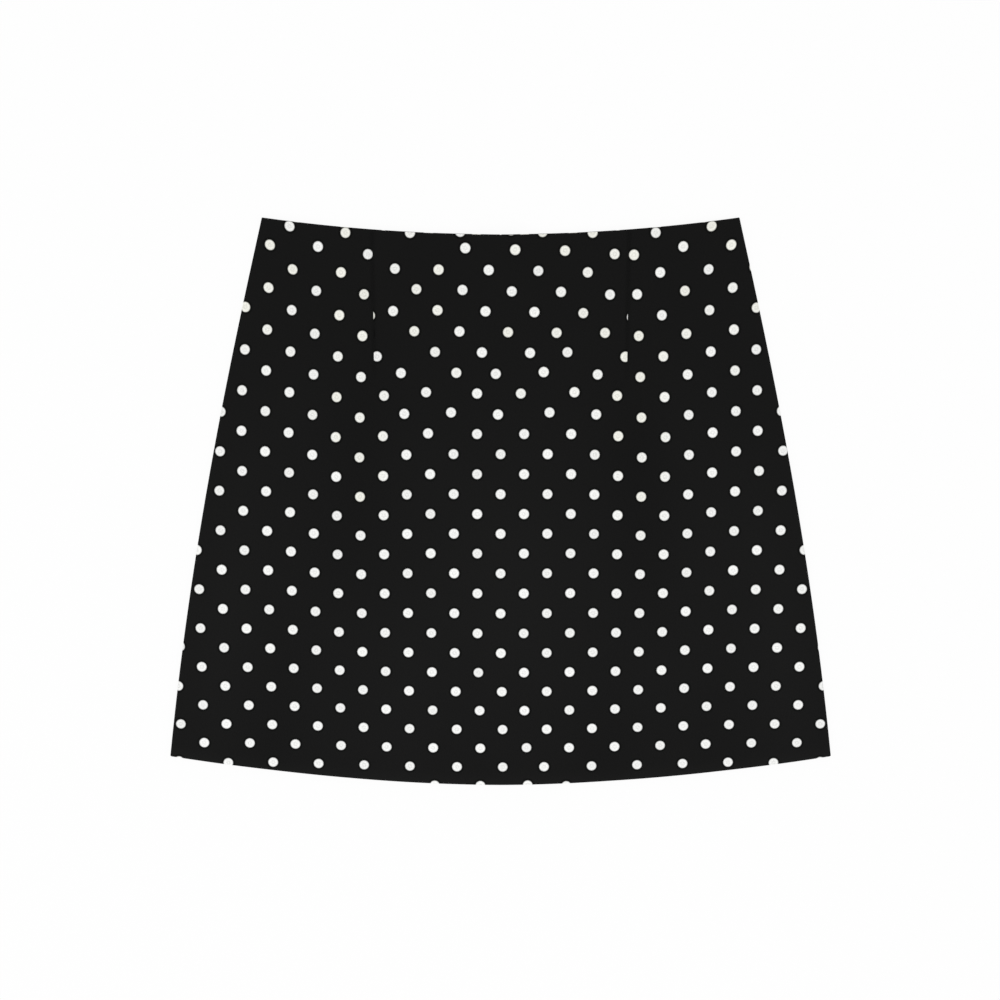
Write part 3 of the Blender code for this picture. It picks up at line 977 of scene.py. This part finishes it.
# a round cord of thread or wire along a path, added to shape; its bake map runs along and round it
def sweep(shape, path, radius, sides=5):
    bake = shape.loops.layers.uv.get("OFBake") or shape.loops.layers.uv.new("OFBake")
    margin = 0.05
    scale = 1 - 2 * margin
    normal = (path[1] - path[0]).orthogonal()
    rings = []
    for i, place in enumerate(path):
        ahead = (path[min(i + 1, len(path) - 1)] - path[max(i - 1, 0)]).normalized()
        normal = (normal - ahead * normal.dot(ahead)).normalized()
        beside = ahead.cross(normal)
        turns = [2 * pi * k / sides for k in range(sides)]
        outs = [normal * cos(turn) + beside * sin(turn) for turn in turns]
        rings.append([shape.verts.new(place + out * radius) for out in outs])
    for i in range(1, len(rings)):
        last, ring = rings[i - 1], rings[i]
        for k in range(sides):
            after = (k + 1) % sides
            face = shape.faces.new((last[k], last[after], ring[after], ring[k]))
            shares = ((k, i - 1), (k + 1, i - 1), (k + 1, i), (k, i))
            for loop, (around, onward) in zip(face.loops, shares):
                loop[bake].uv = (margin + scale * onward / len(path), margin + scale * around / sides)
    shape.faces.new(reversed(rings[0]))
    shape.faces.new(rings[-1])


def fromShape(name, shape, finish, sharpAngle=None):
    mesh = bpy.data.meshes.new(name)
    shape.to_mesh(mesh)
    shape.free()
    mesh.shade_smooth()
    if sharpAngle:
        mesh.set_sharp_from_angle(angle=radians(sharpAngle))
    mesh.materials.append(finish)
    return addObject(name, mesh)


# the nylon wire of one side, wound in flat turns; the other side lies half a turn on
def makeCoil(name, side):
    halfAcross, halfUp = zipFit["coilHalf"]
    steps = zipFit["turnSteps"]
    first = zipFit["top"] + zipFit["coilStart"]
    turns = int((zipFit["length"] - zipFit["coilShorter"]) / zipFit["pitch"])
    path = []
    for i in range(turns * steps + 1):
        below = first + zipFit["pitch"] * i / steps
        angle = 2 * pi * (i / steps + (0.5 if side > 0 else 0.0))
        middle = coilPlace(below)
        x = middle + halfAcross * cos(angle)
        z = tapeLevel(middle, below) + zipFit["wire"] + halfUp * (1 + sin(angle))
        path.append(Vector((side * x, atBelow(0, below), z)))
    shape = bmesh.new()
    sweep(shape, path, zipFit["wire"])
    return fromShape(name, shape, nylonFinish)


# one row of stitches that holds a tape to the back: each a short arc, its ends sunk in the tape
def makeTapeStitches(name, side):
    stitch = tapeStitch
    shape = bmesh.new()
    pitch = stitch["length"] + stitch["gap"]
    for i in range(int((zipFit["length"] - stitch["shorter"]) / pitch)):
        start = zipFit["top"] + stitch["start"] + pitch * i
        x = stitch["across"] + stitch["waver"] * sin(stitch["waverTurn"] * i)
        path = []
        for k in range(stitch["steps"] + 1):
            share = k / stitch["steps"]
            below = start + stitch["length"] * share
            up = stitch["arc"] * sin(pi * share) - stitch["sunk"]
            path.append(Vector((side * x, atBelow(x, below), tapeLevel(x, below) + up)))
        sweep(shape, path, stitch["thread"])
    return fromShape(name, shape, threadFinish)


# a closed outline with rounded corners, each given as (x, y, radius)
def rounded(corners, steps=5):
    outline = []
    for i, (x, y, radius) in enumerate(corners):
        here = Vector((x, y))
        if not radius:
            outline.append(here)
            continue
        before = (Vector(corners[i - 1][:2]) - here).normalized()
        after = (Vector(corners[(i + 1) % len(corners)][:2]) - here).normalized()
        half = before.angle(after) / 2
        centre = here + (before + after).normalized() * radius / sin(half)
        first = here + before * radius / tan(half) - centre
        last = here + after * radius / tan(half) - centre
        for step in range(steps + 1):
            outline.append(centre + first.lerp(last, step / steps).normalized() * radius)
    return outline


# a rectangle from two opposite corners, all with one radius
def roundedBox(x0, y0, x1, y1, radius):
    return rounded([(x0, y0, radius), (x1, y0, radius), (x1, y1, radius), (x0, y1, radius)])


plateEdge = {"merge": 0.01 * mm, "level": radians(1), "sharp": radians(60), "segments": 3}


# a plate with an outline and holes, bevelled, moved to where it stands and added to shape
def addPlate(shape, loops, thickness, bevel, where):
    curve = bpy.data.curves.new("outline", "CURVE")
    curve.dimensions = "2D"
    curve.fill_mode = "BOTH"
    curve.extrude = thickness / 2
    for loop in loops:
        spline = curve.splines.new("POLY")
        spline.points.add(len(loop) - 1)
        for point, (x, y) in zip(spline.points, loop):
            point.co = (x, y, 0, 1)
        spline.use_cyclic_u = True
    drawn = addObject("outline", curve)
    bpy.context.view_layer.update()
    flat = asMesh(drawn)
    plate = bmesh.new()
    plate.from_mesh(flat)
    bmesh.ops.remove_doubles(plate, verts=plate.verts, dist=plateEdge["merge"])
    bmesh.ops.dissolve_limit(plate, angle_limit=plateEdge["level"], verts=plate.verts, edges=plate.edges)
    bmesh.ops.recalc_face_normals(plate, faces=plate.faces)
    whole = [edge for edge in plate.edges if edge.is_manifold]
    rims = [edge for edge in whole if edge.calc_face_angle() > plateEdge["sharp"]]
    segments = plateEdge["segments"]
    bmesh.ops.bevel(plate, geom=rims, offset=bevel, segments=segments, profile=0.5, affect="EDGES")
    plate.transform(where)
    plate.to_mesh(flat)
    plate.free()
    shape.from_mesh(flat)
    bpy.data.objects.remove(drawn)
    bpy.data.meshes.remove(flat)


# Outlines have (x, y towards the waist, corner radius), and the bridge's and its eye's have (y, height
# over the pivot, corner radius), all in mm
sliderForm = {
    "shield": (
        (2.5, 4.5, 0.9), (-2.5, 4.5, 0.9), (-2.5, 0, 3),
        (-1.95, -4.5, 0.7), (1.95, -4.5, 0.7), (2.5, 0, 3),
    ),
    "flange": ((2.5, 3.4, 0), (2.5, 0, 0), (2.05, -3.5, 0), (1.63, -3.5, 0), (2.08, 0, 0), (2.08, 3.4, 0)),
    "wedge": ((0, 4.3, 0.1), (-0.68, 2.6, 0.5), (0, -0.6, 0.1), (0.68, 2.6, 0.5)),
    "bridge": ((2.2, 3.05, 0), (-2.4, 3.05, 0), (-2.4, -1.3, 0.7), (2.2, -1.3, 0.7)),
    "eye": ((1.4, 0.7, 0.3), (-1.6, 0.7, 0.3), (-1.6, -0.7, 0.3), (1.4, -0.7, 0.3)),
    # outline, side, lowest and highest over the table, bevel, also in mm
    "levelPlates": (
        ("shield", 1, 4.1, 4.55, 0.14),
        ("shield", 1, 5.9, 6.3, 0.14),
        ("flange", 1, 5.12, 5.98, 0.08),
        ("flange", -1, 5.12, 5.98, 0.08),
        ("wedge", 1, 4.3, 6.1, 0.05),  # it parts the coils, between the two shields
    ),
    "bridgeThickness": 1.0 * mm,
    "bridgeBevel": 0.15 * mm,
    "pivotHeight": 1.4 * mm,
}
sharpEdge = 40  # degrees, on the hard parts


def makeSlider():
    form = sliderForm
    shape = bmesh.new()

    def outline(name, side=1):
        return rounded([(side * x * mm, y * mm, radius * mm) for x, y, radius in form[name]])

    for name, side, low, high, bevel in form["levelPlates"]:
        where = Matrix.Translation((0, zipFit["pivotY"], (low + high) / 2 * mm))
        addPlate(shape, [outline(name, side)], (high - low) * mm, bevel * mm, where)
    # the bridge stands in the seam's plane: its outline's X runs along +Y, and its Y up
    standing = Matrix(((0, 0, 1), (1, 0, 0), (0, 1, 0))).to_4x4()
    where = Matrix.Translation((0, zipFit["pivotY"], form["pivotHeight"])) @ standing
    loops = [outline("bridge"), outline("eye")]
    addPlate(shape, loops, form["bridgeThickness"], form["bridgeBevel"], where)
    return fromShape("zipSlider", shape, enamelFinish, sharpEdge)


pullForm = {
    "half": 2 * mm,
    "corner": 0.35 * mm,
    "endHalf": 2.7 * mm,
    "endSteps": 24,
    "length": 22 * mm,
    "thickness": 0.8 * mm,
    "bevel": 0.16 * mm,
    "slotHalf": 1.0 * mm,
    "slotEnd": 4.2 * mm,
    "slotRadius": 0.25 * mm,
    "droop": radians(2.4),
}


def makePull():
    form = pullForm
    bar = form["thickness"] / 2
    half, end, corner = form["half"], form["endHalf"], form["corner"]
    centre = bar - form["length"] + end
    corners = [(half, bar, corner), (-half, bar, corner), (-half, -form["slotEnd"], 0)]
    for i in range(form["endSteps"] + 1):
        angle = pi * i / form["endSteps"]
        corners.append((-end * cos(angle), centre - end * sin(angle), 0))
    outline = rounded(corners + [(half, -form["slotEnd"], 0)])
    slotHalf = form["slotHalf"]
    slot = roundedBox(-slotHalf, -form["slotEnd"], slotHalf, -bar, form["slotRadius"])
    where = Matrix.Translation((0, zipFit["pivotY"], sliderForm["pivotHeight"]))
    where = where @ Matrix.Rotation(form["droop"], 4, "X")
    shape = bmesh.new()
    addPlate(shape, [outline, slot], form["thickness"], form["bevel"], where)
    return fromShape("zipPull", shape, enamelFinish, sharpEdge)


stopForm = {
    "half": (1.6 * mm, 1.5 * mm),
    "corner": 0.4 * mm,
    "bevel": 0.25 * mm,
    "aboveEnd": 4 * mm,
    "sunk": 0.15 * mm,  # into the tape
    "thicker": 0.45 * mm,  # than the coils
}


# a metal clamp over both coils at the foot of the zip
def makeBottomStop():
    form = stopForm
    below = zipFit["top"] + zipFit["length"] - form["aboveEnd"]
    thickness = 2 * (zipFit["wire"] + zipFit["coilHalf"][1]) + form["thicker"]
    middle = tapeLevel(0, below) - form["sunk"] + thickness / 2
    x, y = form["half"]
    shape = bmesh.new()
    where = Matrix.Translation((0, atBelow(0, below), middle))
    addPlate(shape, [roundedBox(x, y, -x, -y, form["corner"])], thickness, form["bevel"], where)
    return fromShape("zipBottomStop", shape, enamelFinish, sharpEdge)


tapeLook = {
    "colour": (0.012, 0.012, 0.0125, 1),
    "roughness": 0.62,
    "specular": 0.25,
    "thread": 0.3 * mm,
    "threadHeight": 0.06 * mm,
    "weaveBump": 0.4,
    "shade": {"Scale": 60.0, "Amount": 0.2},
}


def tapeWeave():
    look = tapeLook
    finish, tree, shader = newFinish("blackPolyesterTape", look["roughness"], look["specular"])
    place = addNode(tree, "ShaderNodeTexCoord").outputs["Object"]
    weave = useGroup(tree, weaveGroup, Place=place, Thread=look["thread"])
    shade = useGroup(tree, shadeGroup, **look["shade"])
    # the weave's tone paints shade between the tape's threads
    ground = multiplied(tree, look["colour"], weave["Tone"], shade["Factor"])
    setInputs(shader, {"Base Color": ground})
    raiseThreads(tree, shader, weave, look["weaveBump"], look["threadHeight"])
    return finish


# The zip's hard and smooth parts: colour, roughness, specular, metallic, scale of their broad shade
plainLooks = {
    "blackNylon": ((0.010, 0.010, 0.0105, 1), 0.38, 0.4, 0.0, 300.0),
    "blackThread": ((0.012, 0.012, 0.012, 1), 0.7, 0.3, 0.0, 900.0),
    "blackEnamel": ((0.015, 0.015, 0.016, 1), 0.32, 0.5, 0.2, 420.0),
}
plainShade = 0.3  # how much it changes their tone and gloss


def plainFinish(name):
    colour, roughness, specular, metallic, scale = plainLooks[name]
    finish, tree, shader = newFinish(name, roughness, specular, metallic)
    shade = useGroup(tree, shadeGroup, Scale=scale, Amount=plainShade)
    gloss = calculator(tree)("MULTIPLY", shade["Factor"], roughness)
    setInputs(shader, {"Base Color": multiplied(tree, colour, shade["Factor"]), "Roughness": gloss})
    return finish


tapeFinish = tapeWeave()
nylonFinish, threadFinish, enamelFinish = [plainFinish(name) for name in plainLooks]

zipTapes = [makeTape("zipTapeLeft", 1), makeTape("zipTapeRight", -1)]
zipCoils = [makeCoil("zipCoilLeft", 1), makeCoil("zipCoilRight", -1)]
tapeStitches = [makeTapeStitches("tapeStitchesLeft", 1), makeTapeStitches("tapeStitchesRight", -1)]
zipSlider, zipPull, zipStop = makeSlider(), makePull(), makeBottomStop()
print("zip:", sum(len(piece.data.polygons) for piece in zipCoils), "faces in its coils")

# What each piece rides on, which imported part it stands for and hides, and a finish slot's name
for piece, body, node, finishSlot in (
    (frontCloth, "skirt", "front", "front_cloth"),
    (backLeftCloth, "skirt", "back_left", "back_left_cloth"),
    (backRightCloth, "skirt", "back_right", "back_right_cloth"),
    (zipTapes[0], "skirt", "zip_tape_left", "tape_left_weave"),
    (zipTapes[1], "skirt", "zip_tape_right", "tape_right_weave"),
    (zipCoils[0], "skirt", None, "tape_left_weave"),
    (zipCoils[1], "skirt", None, "tape_right_weave"),
    (tapeStitches[0], "skirt", None, "tape_left_weave"),
    (tapeStitches[1], "skirt", None, "tape_right_weave"),
    (zipStop, "skirt", None, "slider_enamel"),
    (zipSlider, "skirt", "zip_slider", "slider_enamel"),
    (zipPull, "zip_pull", "zip_pull", "pull_enamel"),
):
    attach(piece, body)
    if node:
        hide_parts(node)

studio = {
    "floorSize": 12.0,
    "floorDrop": 0.05 * mm,
    "floorColour": (0.06, 0.06, 0.06, 1),
    "floorGlow": 0.926,  # the pale floor is lit from below, so that it hardly shows a shadow
    "floorRoughness": 0.9,
    "worldStrength": 0.98,
    "lampPower": 6.0,
    "lampSize": 1.6,
    "lampPlace": (-0.35, -0.75, 1.7),
}

photoView = {
    "target": (-0.46 * mm, 7.3 * mm, 0.0),
    "distance": 1.5,
    "tilt": asin(0.2085),  # from straight above, towards the waist
    "lens": 69.6,
    "sensor": 36.0,
}
white = (1, 1, 1, 1)


def makeFloor():
    mesh = bpy.data.meshes.new("paleFloor")
    shape = bmesh.new()
    bmesh.ops.create_grid(shape, x_segments=1, y_segments=1, size=studio["floorSize"] / 2)
    shape.to_mesh(mesh)
    shape.free()
    floor = addObject("paleFloor", mesh)
    floor.location.z = -studio["floorDrop"]
    finish, tree, shader = newFinish("palePaper", studio["floorRoughness"], 0.0)
    setInputs(shader, {"Base Color": studio["floorColour"], "Emission Color": white})
    setInputs(shader, {"Emission Strength": studio["floorGlow"]})
    mesh.materials.append(finish)
    floor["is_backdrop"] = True


def makeLight():
    world = bpy.data.worlds.new("paleRoom")
    world.use_nodes = True
    setInputs(world.node_tree.nodes["Background"], (white, studio["worldStrength"]))
    bpy.context.scene.world = world
    light = bpy.data.lights.new("softPanel", "AREA")
    light.shape = "SQUARE"
    light.size = studio["lampSize"]
    light.energy = studio["lampPower"]
    lamp = addObject("softPanel", light)
    lamp.location = studio["lampPlace"]
    lamp.rotation_mode = "QUATERNION"
    lamp.rotation_quaternion = (-Vector(studio["lampPlace"])).to_track_quat("-Z", "Y")


def makeCamera():
    view = bpy.data.cameras.new("photoCamera")
    view.lens = photoView["lens"]
    view.sensor_width = photoView["sensor"]
    camera = addObject("photoCamera", view)
    tilt = photoView["tilt"]
    back = Vector((0, sin(tilt), cos(tilt)))
    camera.location = Vector(photoView["target"]) + back * photoView["distance"]
    camera.rotation_euler = (-tilt, 0, 0)
    bpy.context.scene.camera = camera


makeFloor()
makeLight()
makeCamera()
bpy.context.scene.view_settings.view_transform = "Standard"
bpy.context.scene.view_settings.look = "None"
print("floor, light and camera ready")

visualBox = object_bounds()
boxes = {"cad": cadBox, "visual": visualBox}
{name: [list(corner) for corner in box] for name, box in boxes.items()}
